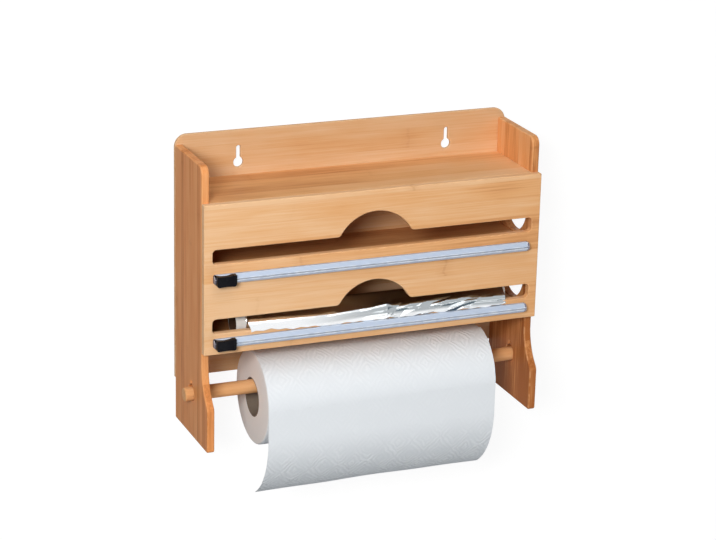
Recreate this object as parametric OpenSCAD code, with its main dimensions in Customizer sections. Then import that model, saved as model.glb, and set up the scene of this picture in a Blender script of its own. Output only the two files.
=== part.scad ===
// Wall-hung bamboo dispenser for two boxed-in wrap rolls and a paper towel roll.
// X runs to the viewer's right, Y towards the wall and Z up. The wall face is at Y = 0.
// The origin lies on the wall face, midway between the entry holes of the two keyholes.

/* [Overall] */
// Width across the two side panels
holder_w = 365; // [340:1:400]
// Depth from the wall to the face of the front panel
holder_d = 96; // [90:1:110]

/* [Back panel] */
// Thickness of the back panel
back_t = 4; // [3:0.5:5.5]
// Height of the back panel
back_h = 259.5; // [245:0.5:275]
// Height of the back panel's top edge above the keyholes
back_rise = 34; // [28:1:40]
// Radius of the back panel's top corners
back_corner_r = 13; // [6:1:18]
// Distance between the two keyholes
key_spacing = 230; // [160:1:270]
// Diameter of a keyhole's entry hole
key_head_d = 10.5; // [7:0.5:12]
// Width of a keyhole's hanging slot
key_slot_w = 4.6; // [3:0.2:5]
// Height of a keyhole's slot above the centre of its entry hole
key_slot_h = 17.6; // [12:0.2:22]

/* [Side panels] */
// Thickness of a side panel
side_t = 8; // [7:0.5:12]
// Drop of the side panels' top edge below the back panel's
side_drop = 10; // [4:0.5:14]
// Length of the side panels below the back panel
side_tail = 44; // [38:0.5:60]
// Radius of a side panel's upper front corner
side_top_r = 9; // [3:0.5:16]
// Reach of the foot in front of the front panel
foot_reach = 10.5; // [4:0.5:18]
// Radius of the hollow curve above the foot
foot_curve_r = 54; // [45:1:70]
// Start of the hollow curve below the front panel
foot_curve_drop = 13; // [6:0.5:14]
// Radius of the foot's knee
knee_r = 8; // [3:0.5:12]
// Radius of the foot's toe
toe_r = 2.5; // [2:0.5:8]
// Radius of the foot's heel
heel_r = 2; // [1:0.5:4]

/* [Front panel] */
// Thickness of the front panel
front_t = 8; // [7:0.5:12]
// Height of the front panel
front_h = 156; // [150:0.5:165]
// Drop of the front panel's top edge below the back panel's
front_drop = 47; // [40:0.5:56]
// Wood left between a slot's end and the front panel's end
slot_end_w = 9; // [8.5:0.5:30]
// Height of a wrap slot
slot_h = 15; // [10:0.5:17]
// Radius of a wrap slot's corners
slot_r = 4; // [1:0.5:5]
// Drop of the upper slot's top edge below the front panel's
slot_drop = 46.5; // [42:0.1:48]
// Distance from the upper slot to the lower slot
slot_pitch = 72.4; // [71:0.1:74]
// Half the width of a finger arch along the slot
arch_half_w = 42; // [32:1:50]
// Height of a finger arch above the slot
arch_h = 24; // [16:0.5:28]
// Radius of the flare at the foot of a finger arch
arch_foot_r = 5; // [3:0.5:12]

/* [Shelf and floors] */
// Thickness of the shelf and the floors
shelf_t = 8; // [7:0.5:8]
// Drop of each floor below its slot
floor_drop = 13.3; // [12.5:0.1:13.3]

/* [Loading holes] */
// Diameter of a loading hole in the right side panel
load_hole_d = 63; // [50:0.5:63.5]
// Distance of the loading holes from the wall
load_hole_y = 48.5; // [46:0.5:54]

/* [Cutter rails] */
// Distance from a rail's left end to the front panel's left end
rail_left_inset = 9; // [6:0.5:30]
// Distance from a rail's right end to the front panel's right end
rail_right_inset = 13; // [6:0.5:30]
// Height of a rail
rail_h = 9.6; // [9:0.1:9.8]
// Depth of a rail at its nose
rail_d = 5.4; // [5.2:0.1:6.4]
// Depth of a rail at its top and bottom edges
rail_edge_d = 3.2; // [3:0.1:3.6]
// Height of the blade groove above the rail's bottom edge
groove_z = 4; // [3.8:0.1:4.4]
// Width of the blade groove
groove_w = 1.4; // [1.3:0.1:1.6]
// Height of the runner's channel
channel_h = 4.4; // [4:0.1:4.6]
// Depth of the runner's channel
channel_d = 2; // [1.8:0.1:2.1]
// Thickness of the wall behind the channel
channel_back_t = 1.3; // [1.1:0.1:1.4]
// Length of an end cap beyond the extrusion
cap_len = 2.2; // [1.5:0.1:3]
// Radius of an end cap's outer corners
cap_r = 2; // [0.5:0.1:2.2]
// Length of an end cap's plug
cap_plug_len = 3; // [2:0.5:3.5]
// Gap between the upper slot and its rail
upper_rail_gap = 9.7; // [6:0.1:14]
// Gap between the lower slot and its rail
lower_rail_gap = 4.5; // [4:0.1:7]
// Thickness of the adhesive strip behind a rail
tape_t = 0.6; // [0.4:0.1:1]
// Inset of the adhesive strip from the rail's edges
tape_inset = 0.7; // [0.3:0.1:1.5]

/* [Sliders] */
// Length of a slider
slider_len = 20.5; // [18:0.5:28]
// Height of a slider
slider_h = 11.6; // [11:0.1:13]
// Drop of a slider's bottom edge below its rail
slider_hang = 1.6; // [1.4:0.1:3.6]
// Thickness of a slider in front of the rail's nose
slider_t = 4.2; // [3.6:0.1:6]
// Gap from the rail's left end to the slider at rest
slider_start = 1.4; // [1.2:0.1:8]
// Depth of the finger dip in a slider's top edge
slider_dip = 1.1; // [1:0.1:3]
// Width of the horn at a slider's right end
slider_horn_w = 3.4; // [2.5:0.1:5]
// Radius of a slider's lower corners
slider_r = 2.5; // [1:0.1:3]
// Depth of the thumb dish in a slider's face
slider_dish = 1.1; // [0.4:0.1:1.6]
// Half the width of the thumb dish in a slider's face
slider_dish_half_w = 7.6; // [5:0.1:9]
// Distance of a runner from its slider's left end
runner_start = 4.2; // [4:0.1:5]
// Length of a runner
runner_len = 8; // [6:0.5:9]
// Depth of a runner's neck and of a blade in the slider's back
socket_depth = 2; // [1.5:0.1:2.4]
// Distance of a blade from its slider's left end
blade_start = 14.3; // [14:0.1:15]
// Thickness of a blade
blade_t = 0.4; // [0.3:0.05:0.5]
// Length of a blade
blade_len = 5; // [4:0.5:5.5]
// Length of a blade's tip, where it is deepest in the groove
blade_tip_len = 1.6; // [1:0.1:2]

/* [Towel rod] */
// Diameter of the towel rod
rod_d = 14.5; // [13:0.5:16]
// Distance of the towel rod from the wall
rod_y = 56; // [54.5:0.5:70]
// Drop of the towel rod below the front panel
rod_drop = 54.9; // [50:0.1:56]
// Length of the towel rod outside each side panel
rod_overhang = 8; // [5.5:0.5:14]
// Radius of the towel rod's end edges
rod_end_r = 1.5; // [0.5:0.1:3]
// Slack of the towel rod in its holes
rod_slack = 3; // [1.6:0.1:3.4]
// Diameter of the rod's locking pin
rod_pin_d = 3; // [2:0.1:3.2]
// Height of the locking pin above the rod
rod_pin_h = 3.2; // [2:0.1:3.6]
// Width of the notch that lets the locking pin through
notch_w = 4; // [3.8:0.1:5]
// Height of the notch above the rod hole
notch_h = 4; // [3.4:0.1:5]

/* [Towel roll] */
// Width of the towel roll
towel_w = 252; // [220:1:260]
// Sideways shift of the towel roll from the middle
towel_shift = 9.1; // [-4:0.1:10]
// Diameter of the towel roll
towel_d = 99; // [80:0.2:101]
// Inner diameter of the towel roll's core
towel_core_d = 39; // [36:0.2:44]
// Wall of the towel roll's core
towel_core_t = 1.2; // [0.8:0.1:2]
// Thickness of the hanging towel sheet
sheet_t = 0.8; // [0.6:0.1:1.2]
// Angle that the sheet still covers on the roll
sheet_wrap = 80; // [40:1:100]
// Straight length of the sheet below the roll's middle
sheet_drop = 30; // [20:0.5:60]
// Radius of the sheet's curl
sheet_curl_r = 85; // [60:1:100]
// Angle of the sheet's curl
sheet_curl = 57; // [20:1:70]

/* [Foil roll] */
// Width of the wound foil
foil_w = 284; // [250:1:290]
// Length of the foil roll's core outside the wound foil at each end
foil_core_end = 6.5; // [3:0.5:12]
// Sideways slip of the core in the wound foil, towards the left
foil_core_slip = 3.6; // [0:0.1:6]
// Sideways shift of the foil roll from the middle
foil_shift = 8; // [0:0.5:12]
// Diameter of the foil roll
foil_d = 28; // [24:0.5:28.5]
// Outer diameter of the foil roll's core
foil_core_d = 26; // [20:0.5:27]
// Wall of the foil roll's core
foil_core_t = 1.5; // [1:0.1:2.5]
// Distance of the foil roll from the wall
foil_y = 70.5; // [64:0.5:70.5]
// Inset of the foil tongue from each end of the wound foil
tongue_inset = 0.5; // [0:0.5:4]
// Thickness of the foil tongue
tongue_t = 0.6; // [0.4:0.1:0.8]
// Radius of the bend where the tongue turns over the slot's edge
tongue_bend_r = 5.8; // [5.6:0.1:6.4]
// Height of the bend's centre below the slot's edge
tongue_bend_drop = 1.4; // [1.2:0.1:1.6]
// Angle round the foil roll that the tongue still covers
tongue_wrap = 30; // [10:1:60]
// Number of flat facets in each bend of the tongue
tongue_facets = 8; // [4:1:16]

/* [Fasteners] */
// Diameter of a screw's shank
screw_d = 3.2; // [2.5:0.1:3.6]
// Diameter of a screw's countersunk head
screw_head_d = 6.4; // [5:0.1:7]
// Depth of a screw's countersunk head
screw_head_h = 2; // [1.5:0.1:2.4]
// Length of a screw
screw_len = 25; // [18:0.5:26]
// Distance between neighbouring screws along a shelf
screw_pitch = 120; // [80:1:140]
// Height of the lowest side screws above the back panel's bottom edge
screw_foot = 20; // [12:1:30]
// Diameter of a dowel pin
pin_d = 4; // [3:0.5:5]
// Depth of a dowel pin in the board's face
pin_face_depth = 5; // [4:0.5:5.5]
// Depth of a dowel pin in the board's edge
pin_edge_depth = 9; // [6:0.5:12]
// Inset of the front panel's dowel pins from its top and bottom edges
pin_inset = 20; // [14:0.5:24]
// Distances of a shelf's dowel pins from the wall
shelf_pin_ys = [22, 70];

/* [Fits] */
// Gap between pieces that move past each other
slide_gap = 0.3; // [0.2:0.05:0.35]
// Gap round pieces that are pressed or glued into a hole
glue_gap = 0.05; // [0.02:0.01:0.1]

/* [Hidden] */

// Exact curves; any value above 12 gives true circles
$fn = 96;
// Direction of the front in a Y-Z outline
front_angle = 180;
// Overlap of cutting tools past the faces they cut
cut = 1;

bamboo = [0.83, 0.62, 0.40];
bamboo_shade = [0.72, 0.50, 0.31];
silver = [0.78, 0.81, 0.85];
jet = [0.06, 0.06, 0.07];
steel = [0.62, 0.63, 0.65];
paper = [0.94, 0.94, 0.93];
card = [0.80, 0.76, 0.70];

// Heights of the boards' edges
back_top = back_rise;
back_bottom = back_top - back_h;
side_top = back_top - side_drop;
side_bottom = back_bottom - side_tail;
front_top = back_top - front_drop;
front_bottom = front_top - front_h;
upper_slot_top = front_top - slot_drop;
lower_slot_top = upper_slot_top - slot_pitch;
upper_slot_bottom = upper_slot_top - slot_h;
lower_slot_bottom = lower_slot_top - slot_h;
upper_floor_top = upper_slot_bottom - floor_drop;
lower_floor_top = lower_slot_bottom - floor_drop;
slot_len = holder_w - 2 * slot_end_w;
board_mids = [front_top - shelf_t / 2, upper_floor_top - shelf_t / 2, lower_floor_top - shelf_t / 2];
upper_room_mid = (front_top - shelf_t + upper_floor_top) / 2;
lower_room_mid = (upper_floor_top - shelf_t + lower_floor_top) / 2;

// Places of the boards across and in depth
half_w = holder_w / 2;
inner_half_w = half_w - side_t;
side_mid = half_w - side_t / 2;
front_y = -holder_d;
side_front_y = front_y + front_t;
side_back_y = -back_t;
foot_y = front_y - foot_reach;

// Rails and sliders
rail_y = front_y - tape_t;
rail_len = holder_w - rail_left_inset - rail_right_inset;
rail_left = rail_left_inset - half_w;
rail_mid = rail_left + rail_len / 2;
extrusion_len = rail_len - 2 * cap_len;
upper_rail_z = upper_slot_bottom - upper_rail_gap - rail_h;
lower_rail_z = lower_slot_bottom - lower_rail_gap - rail_h;
slider_left = rail_left + slider_start;
slider_face_d = rail_d + slide_gap + slider_t;

// Rolls
rod_z = front_bottom - rod_drop;
rod_hole_z = rod_z + rod_slack / 2 - slide_gap;
rod_half_len = half_w + rod_overhang;
rod_pin_x = half_w + rod_pin_d / 2 + 2 * slide_gap;
towel_z = rod_z - (towel_core_d - rod_d) / 2 + slide_gap;
towel_left = towel_shift - towel_w / 2;
sheet_in_r = towel_d / 2 + slide_gap;
foil_z = lower_floor_top + foil_d / 2 + slide_gap;
foil_left = foil_shift - foil_w / 2;
foil_core_left = foil_left - foil_core_end - foil_core_slip;
foil_core_len = foil_w + 2 * foil_core_end;
tongue_left = foil_left + tongue_inset;
tongue_w = foil_w - 2 * tongue_inset;
tongue_front_y = front_y - slide_gap - tongue_t;
tongue_bend_y = tongue_front_y + tongue_bend_r;
tongue_bend_z = lower_slot_bottom - tongue_bend_drop;
tongue_end_z = lower_rail_z + rail_h + slide_gap;

// Draws a Y-Z outline along X
module along_x(x, len) {
    translate([x, 0, 0])
        rotate([90, 0, 90])
            linear_extrude(len)
                children();
}

// Draws an X-Z outline along Y, from its front face backwards
module along_y(y, len) {
    translate([0, y + len, 0])
        rotate([90, 0, 0])
            linear_extrude(len)
                children();
}

// Rectangle given by two opposite corners
module rect(low, high) {
    translate(low)
        square(high - low);
}

// The sliver outside a rounded corner; dir points from the corner's tip into the board
module corner_sliver(tip, r, dir) {
    centre = tip + r * dir;
    low = [min(tip[0], centre[0]), min(tip[1], centre[1])];
    difference() {
        rect(low, low + [r, r]);
        translate(centre)
            circle(r);
    }
}

// Copies to the left and to the right of the middle
module both_sides() {
    children();
    mirror([1, 0, 0])
        children();
}

// Pie slice from one angle to another, for a ring that is cut to length
module wedge(r, from, to) {
    reach = 2 * r;
    middle = (from + to) / 2;
    polygon([[0, 0],
        reach * [cos(from), sin(from)],
        reach * [cos(middle), sin(middle)],
        reach * [cos(to), sin(to)]]);
}

// Bent strip: part of a ring, given by its outer radius and thickness
module bent_strip(r, t, from, to) {
    intersection() {
        difference() {
            circle(r);
            circle(r - t);
        }
        wedge(r, from, to);
    }
}

// Points along a bend that is made of flat facets
function fold_points(centre, r, from, to) =
    [for (i = [0:tongue_facets])
        let (angle = from + (to - from) * i / tongue_facets)
        centre + r * [cos(angle), sin(angle)]];

// One countersunk wood screw that points away from the wall
module screw(grow = 0) {
    rotate([90, 0, 0]) {
        cylinder(h = screw_len + grow, d = screw_d + 2 * grow);
        cylinder(h = screw_head_h, d1 = screw_head_d + 2 * grow, d2 = screw_d + 2 * grow);
    }
}

// Screws through the back panel into the boards' rear edges
module screw_pattern(grow = 0) {
    for (x = [-screw_pitch, 0, screw_pitch], z = board_mids)
        translate([x, 0, z])
            screw(grow);
    ear_z = (side_top + front_top) / 2;
    waist_z = upper_floor_top + shelf_t / 2;
    for (z = [ear_z, waist_z, back_bottom + screw_foot])
        both_sides()
            translate([side_mid, 0, z])
                screw(grow);
}

// Dowel pins between the side panels' front edges and the front panel
module front_pin_pattern(grow = 0) {
    for (z = [front_top - pin_inset, (front_top + front_bottom) / 2, front_bottom + pin_inset])
        both_sides()
            translate([side_mid, side_front_y + pin_edge_depth + grow, z])
                rotate([90, 0, 0])
                    cylinder(h = pin_edge_depth + pin_face_depth + 2 * grow, d = pin_d + 2 * grow);
}

// Dowel pins between the shelf and floor ends and the side panels
module shelf_pin_pattern(grow = 0) {
    for (y = shelf_pin_ys, z = board_mids)
        both_sides()
            translate([inner_half_w - pin_edge_depth - grow, -y, z])
                rotate([0, 90, 0])
                    cylinder(h = pin_edge_depth + pin_face_depth + 2 * grow, d = pin_d + 2 * grow);
}

// Keyhole: a round entry for a screw's head and a narrow slot above it
module keyhole() {
    circle(d = key_head_d);
    rect([-key_slot_w / 2, 0], [key_slot_w / 2, key_slot_h - key_slot_w / 2]);
    translate([0, key_slot_h - key_slot_w / 2])
        circle(d = key_slot_w);
}

module back_panel() {
    color(bamboo)
        difference() {
            along_y(side_back_y, back_t)
                difference() {
                    rect([-half_w, back_bottom], [half_w, back_top]);
                    both_sides()
                        corner_sliver([half_w, back_top], back_corner_r, [-1, -1]);
                    both_sides()
                        translate([key_spacing / 2, 0])
                            keyhole();
                }
            screw_pattern(glue_gap);
        }
}

// Foot in front of the side panel: a hollow curve runs out to a rounded knee
module foot_outline() {
    curve_top = [side_front_y, front_bottom - foot_curve_drop];
    curve_centre = curve_top - [foot_curve_r, 0];
    reach = side_front_y - foot_y;
    knee_tip = [foot_y, curve_top[1] - sqrt(pow(foot_curve_r, 2) - pow(foot_curve_r - reach, 2))];
    knee_y = foot_y + knee_r;
    knee_run = knee_y - curve_centre[0];
    knee_centre = [knee_y, curve_centre[1] - sqrt(pow(foot_curve_r + knee_r, 2) - pow(knee_run, 2))];
    curve_touch = curve_centre + (knee_centre - curve_centre) * foot_curve_r / (foot_curve_r + knee_r);
    difference() {
        rect([foot_y, side_bottom], [side_front_y, curve_top[1]]);
        translate(curve_centre)
            circle(foot_curve_r);
        corner_sliver([foot_y, side_bottom], toe_r, [1, 1]);
        difference() {
            polygon([knee_centre, [foot_y - cut, knee_centre[1]], knee_tip + [-cut, 0], curve_touch]);
            translate(knee_centre)
                circle(knee_r);
        }
    }
}

// Rod hole with the notch for the locking pin above it
module rod_hole() {
    hole_r = (rod_d + rod_slack) / 2;
    translate([-rod_y, rod_hole_z]) {
        circle(hole_r);
        rect([-notch_w / 2, 0], [notch_w / 2, hole_r + notch_h]);
    }
}

module side_outline() {
    difference() {
        union() {
            rect([side_front_y, side_bottom], [side_back_y, side_top]);
            foot_outline();
        }
        corner_sliver([side_front_y, side_top], side_top_r, [1, -1]);
        corner_sliver([side_back_y, side_bottom], heel_r, [-1, 1]);
        rod_hole();
    }
}

module left_side_panel() {
    color(bamboo)
        difference() {
            along_x(-half_w, side_t)
                side_outline();
            screw_pattern(glue_gap);
            front_pin_pattern(glue_gap);
            shelf_pin_pattern(glue_gap);
        }
}

// Only this panel has the round holes through which the wrap rolls are loaded
module right_side_panel() {
    color(bamboo)
        difference() {
            along_x(inner_half_w, side_t)
                difference() {
                    side_outline();
                    for (z = [upper_room_mid, lower_room_mid])
                        translate([-load_hole_y, z])
                            circle(d = load_hole_d);
                }
            screw_pattern(glue_gap);
            front_pin_pattern(glue_gap);
            shelf_pin_pattern(glue_gap);
        }
}

// Finger arch above a slot: a round top whose feet flare into the slot's edge
module finger_arch() {
    flare = [arch_half_w, arch_foot_r];
    arch_r = (pow(arch_half_w, 2) + pow(arch_h, 2) - 2 * arch_h * arch_foot_r) / (2 * arch_h);
    arch_centre = [0, arch_h - arch_r];
    touch = flare + (arch_centre - flare) * arch_foot_r / (arch_r + arch_foot_r);
    intersection() {
        translate(arch_centre)
            circle(arch_r);
        rect([-arch_half_w, -slot_h / 2], [arch_half_w, arch_h + cut]);
    }
    both_sides()
        difference() {
            polygon([[0, -slot_h / 2], [arch_half_w, -slot_h / 2], [arch_half_w, arch_foot_r], touch]);
            translate(flare)
                circle(arch_foot_r);
        }
}

// Wrap slot with rounded corners; its top edge is at height 0
module wrap_slot() {
    difference() {
        rect([-slot_len / 2, -slot_h], [slot_len / 2, 0]);
        both_sides() {
            corner_sliver([slot_len / 2, 0], slot_r, [-1, -1]);
            corner_sliver([slot_len / 2, -slot_h], slot_r, [-1, 1]);
        }
    }
    finger_arch();
}

module front_panel() {
    color(bamboo)
        difference() {
            along_y(front_y, front_t)
                difference() {
                    rect([-half_w, front_bottom], [half_w, front_top]);
                    for (z = [upper_slot_top, lower_slot_top])
                        translate([0, z])
                            wrap_slot();
                }
            front_pin_pattern(glue_gap);
        }
}

// A board between the side panels, given by its top face
module inner_board(top) {
    color(bamboo_shade)
        difference() {
            translate([-inner_half_w, side_front_y, top - shelf_t])
                cube([2 * inner_half_w, side_back_y - side_front_y, shelf_t]);
            screw_pattern(glue_gap);
            shelf_pin_pattern(glue_gap);
        }
}

module top_shelf() {
    inner_board(front_top);
}

module upper_floor() {
    inner_board(upper_floor_top);
}

module lower_floor() {
    inner_board(lower_floor_top);
}

module back_screws() {
    color(steel)
        screw_pattern();
}

module front_pins() {
    color(bamboo_shade)
        front_pin_pattern();
}

module shelf_pins() {
    color(bamboo_shade)
        shelf_pin_pattern();
}

// Outside of a rail's section: a nose with a sloping facet above and below it
module rail_outline(grow = 0) {
    nose_half = groove_w;
    polygon([[0, -grow],
        [-rail_edge_d - grow, -grow],
        [-rail_d - grow, groove_z - nose_half],
        [-rail_d - grow, groove_z + nose_half],
        [-rail_edge_d - grow, rail_h + grow],
        [0, rail_h + grow]]);
}

// Channel inside a rail, which holds the runner
module channel_outline(shrink = 0) {
    back = -channel_back_t - shrink;
    front = -channel_back_t - channel_d + shrink;
    rect([front, groove_z - channel_h / 2 + shrink], [back, groove_z + channel_h / 2 - shrink]);
}

// Extruded rail with its channel and the blade groove in its nose
module rail(z) {
    groove_low = groove_z - groove_w / 2;
    color(silver)
        translate([0, rail_y, z])
            along_x(rail_left + cap_len, extrusion_len)
                difference() {
                    rail_outline();
                    channel_outline();
                    rect([-rail_d - cut, groove_low], [-channel_back_t - cut, groove_low + groove_w]);
                }
}

// Rounded end cap at a rail's left end, with a plug in the channel
module rail_cap() {
    intersection() {
        along_x(rail_left, cap_len)
            rail_outline();
        along_y(-rail_d - cut, rail_d + 2 * cut)
            difference() {
                rect([rail_left, 0], [rail_left + cap_len, rail_h]);
                corner_sliver([rail_left, 0], cap_r, [1, 1]);
                corner_sliver([rail_left, rail_h], cap_r, [1, -1]);
            }
    }
    along_x(rail_left + cap_len, cap_plug_len)
        channel_outline(glue_gap);
}

module rail_caps(z) {
    color(silver)
        translate([rail_mid, rail_y, z])
            both_sides()
                translate([-rail_mid, 0, 0])
                    rail_cap();
}

module rail_tape(z) {
    color(card)
        translate([rail_left + cap_len, rail_y, z + tape_inset])
            cube([extrusion_len, tape_t, rail_h - 2 * tape_inset]);
}

// Face of a slider: finger dip on top, a horn at the right end, rounded lower corners
module slider_face() {
    dip_w = slider_len - slider_horn_w;
    dip_r = (pow(dip_w / 2, 2) + pow(slider_dip, 2)) / (2 * slider_dip);
    difference() {
        rect([0, 0], [slider_len, slider_h]);
        translate([dip_w / 2, slider_h - slider_dip + dip_r])
            circle(dip_r);
        corner_sliver([0, 0], slider_r, [1, 1]);
        corner_sliver([slider_len, 0], slider_r, [-1, 1]);
    }
}

// Section of a slider: it hooks under the rail and follows the rail's facets
module slider_section() {
    difference() {
        rect([-slider_face_d, -slider_hang], [-slide_gap, slider_h - slider_hang]);
        rail_outline(slide_gap);
        rect([-rail_edge_d - slide_gap, 0], [0, slider_h]);
    }
}

// Thumb dish in a slider's face
module slider_thumb_dish() {
    dish_r = (pow(slider_dish_half_w, 2) + pow(slider_dish, 2)) / (2 * slider_dish);
    translate([slider_len / 2, -slider_face_d - dish_r + slider_dish, -slider_hang - cut])
        cylinder(h = slider_h + 2 * cut, r = dish_r);
}

// Neck of a runner, which passes through the groove into the slider's back
module runner_neck(grow = 0) {
    y = rail_d + slide_gap + socket_depth + grow;
    neck_h = groove_w - 2 * slide_gap + 2 * grow;
    translate([runner_start - grow, -y, groove_z - neck_h / 2])
        cube([runner_len + 2 * grow, y - channel_back_t - channel_d / 2, neck_h]);
}

// Blade: its slanting edge leads to the right and dips into the groove
module blade_body(grow = 0) {
    tip_d = channel_back_t + channel_d + slide_gap;
    root_d = rail_d + slide_gap + socket_depth + grow;
    translate([0, 0, groove_z - blade_t / 2 - grow])
        linear_extrude(blade_t + 2 * grow)
            polygon([[blade_start - grow, -root_d],
                [blade_start - grow, -tip_d],
                [blade_start + blade_tip_len, -tip_d],
                [blade_start + blade_len + grow, -rail_d],
                [blade_start + blade_len + grow, -root_d]]);
}

module place_slider(z) {
    translate([slider_left, rail_y, z])
        children();
}

module slider(z) {
    color(jet)
        place_slider(z)
            difference() {
                intersection() {
                    along_x(0, slider_len)
                        slider_section();
                    along_y(-slider_face_d - cut, slider_face_d + cut)
                        translate([0, -slider_hang])
                            slider_face();
                }
                slider_thumb_dish();
                runner_neck(glue_gap);
                blade_body(glue_gap);
            }
}

module runner(z) {
    color(paper)
        place_slider(z) {
            along_x(runner_start, runner_len)
                channel_outline(slide_gap);
            runner_neck();
        }
}

module blade(z) {
    color(steel)
        place_slider(z)
            blade_body();
}

module upper_rail() {
    rail(upper_rail_z);
}

module upper_rail_caps() {
    rail_caps(upper_rail_z);
}

module upper_rail_tape() {
    rail_tape(upper_rail_z);
}

module upper_slider() {
    slider(upper_rail_z);
}

module upper_runner() {
    runner(upper_rail_z);
}

module upper_blade() {
    blade(upper_rail_z);
}

module lower_rail() {
    rail(lower_rail_z);
}

module lower_rail_caps() {
    rail_caps(lower_rail_z);
}

module lower_rail_tape() {
    rail_tape(lower_rail_z);
}

module lower_slider() {
    slider(lower_rail_z);
}

module lower_runner() {
    runner(lower_rail_z);
}

module lower_blade() {
    blade(lower_rail_z);
}

// Turned rod with eased end edges and a hole for its locking pin
module towel_rod() {
    r = rod_d / 2;
    color(bamboo)
        difference() {
            translate([0, -rod_y, rod_z])
                rotate([0, 90, 0])
                    rotate_extrude()
                        difference() {
                            rect([0, -rod_half_len], [r, rod_half_len]);
                            corner_sliver([r, rod_half_len], rod_end_r, [-1, -1]);
                            corner_sliver([r, -rod_half_len], rod_end_r, [-1, 1]);
                        }
            rod_pin_body(glue_gap);
        }
}

// Pin set in the rod just outside the right side panel
module rod_pin_body(grow = 0) {
    translate([rod_pin_x, -rod_y, rod_z - grow])
        cylinder(h = rod_d / 2 + rod_pin_h + grow, d = rod_pin_d + 2 * grow);
}

module rod_pin() {
    color(bamboo_shade)
        rod_pin_body();
}

// Hollow cylinder along X
module tube_x(x, len, outer_d, inner_d, y, z) {
    along_x(x, len)
        translate([y, z])
            difference() {
                circle(d = outer_d);
                circle(d = inner_d);
            }
}

module towel_core() {
    color(card)
        tube_x(towel_left, towel_w, towel_core_d + 2 * towel_core_t, towel_core_d, -rod_y, towel_z);
}

module towel_winding() {
    color(paper)
        tube_x(towel_left, towel_w, towel_d, towel_core_d + 2 * towel_core_t, -rod_y, towel_z);
}

// Sheet that comes over the roll's top, hangs down in front and curls back
module towel_sheet() {
    out_r = sheet_in_r + sheet_t;
    curl_centre = [-rod_y - out_r + sheet_curl_r, towel_z - sheet_drop];
    color(paper)
        along_x(towel_left, towel_w) {
            translate([-rod_y, towel_z])
                bent_strip(out_r, sheet_t, front_angle - sheet_wrap, front_angle);
            rect([-rod_y - out_r, towel_z - sheet_drop], [-rod_y - sheet_in_r, towel_z]);
            translate(curl_centre)
                bent_strip(sheet_curl_r, sheet_t, front_angle, front_angle + sheet_curl);
        }
}

module foil_core() {
    color(paper)
        tube_x(foil_core_left, foil_core_len, foil_core_d, foil_core_d - 2 * foil_core_t, -foil_y, foil_z);
}

module foil_winding() {
    color(silver)
        tube_x(foil_left, foil_w, foil_d, foil_core_d, -foil_y, foil_z);
}

// Foil that leaves the roll's top, runs down to the slot's edge, bends over it and ends above the rail
module foil_tongue() {
    bend_centre = [tongue_bend_y, tongue_bend_z];
    roll_centre = [-foil_y, foil_z];
    to_roll = roll_centre - bend_centre;
    wrap_r = foil_d / 2 + slide_gap + tongue_t;
    slope = atan2(to_roll[1], to_roll[0]) + asin((wrap_r - tongue_bend_r) / norm(to_roll));
    lift_angle = slope + front_angle / 2;
    tail_angle = lift_angle - tongue_wrap;
    color(silver)
        along_x(tongue_left, tongue_w)
            polygon(concat(
                [[tongue_front_y, tongue_end_z]],
                fold_points(bend_centre, tongue_bend_r, front_angle, lift_angle),
                fold_points(roll_centre, wrap_r, lift_angle, tail_angle),
                fold_points(roll_centre, wrap_r - tongue_t, tail_angle, lift_angle),
                fold_points(bend_centre, tongue_bend_r - tongue_t, lift_angle, front_angle),
                [[tongue_front_y + tongue_t, tongue_end_z]]));
}

back_panel();
left_side_panel();
right_side_panel();
front_panel();
top_shelf();
upper_floor();
lower_floor();
back_screws();
front_pins();
shelf_pins();
upper_rail();
upper_rail_caps();
upper_rail_tape();
lower_rail();
lower_rail_caps();
lower_rail_tape();
upper_slider();
upper_runner();
upper_blade();
lower_slider();
lower_runner();
lower_blade();
towel_rod();
rod_pin();
towel_core();
towel_winding();
towel_sheet();
foil_core();
foil_winding();
foil_tongue();
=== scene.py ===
# %% [markdown]
# # A wall-hung wrap dispenser in bamboo
# The holder carries a shelf, two slotted compartments for wrap with a slide cutter below each
# slot, and a rod for a paper towel roll. Its rigid frame is loaded first and stays fixed. Each
# step after that sets up helpers, mixes a finish or dresses a piece.

# %% Load the frame
from math import asin, atan2, cos, floor, hypot, pi, radians, sin, tau

import bpy
import numpy as np
from mathutils import Matrix, Vector


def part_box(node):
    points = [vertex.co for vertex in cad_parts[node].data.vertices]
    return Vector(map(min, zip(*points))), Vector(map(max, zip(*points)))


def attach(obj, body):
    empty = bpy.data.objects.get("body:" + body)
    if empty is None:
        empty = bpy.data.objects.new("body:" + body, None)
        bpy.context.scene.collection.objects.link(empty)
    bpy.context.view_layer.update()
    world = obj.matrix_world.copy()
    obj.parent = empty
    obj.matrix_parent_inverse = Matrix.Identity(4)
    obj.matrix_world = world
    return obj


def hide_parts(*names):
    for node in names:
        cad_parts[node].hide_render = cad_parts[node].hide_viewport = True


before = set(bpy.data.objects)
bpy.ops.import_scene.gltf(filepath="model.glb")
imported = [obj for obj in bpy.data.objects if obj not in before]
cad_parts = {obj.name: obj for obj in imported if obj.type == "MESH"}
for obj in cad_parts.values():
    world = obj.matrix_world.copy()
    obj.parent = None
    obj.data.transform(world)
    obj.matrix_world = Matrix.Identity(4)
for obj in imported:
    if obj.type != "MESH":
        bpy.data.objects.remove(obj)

mm = 0.001
mm_per_metre = 1000.0
scene = bpy.context.scene
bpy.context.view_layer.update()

# %% [markdown]
# ## Camera
# The picture was taken from the left and from above with a long lens. A camera can be turned by
# Euler angles, but a small roll is easier to keep apart when the camera's three axes are built as
# vectors and put into one matrix.

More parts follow.
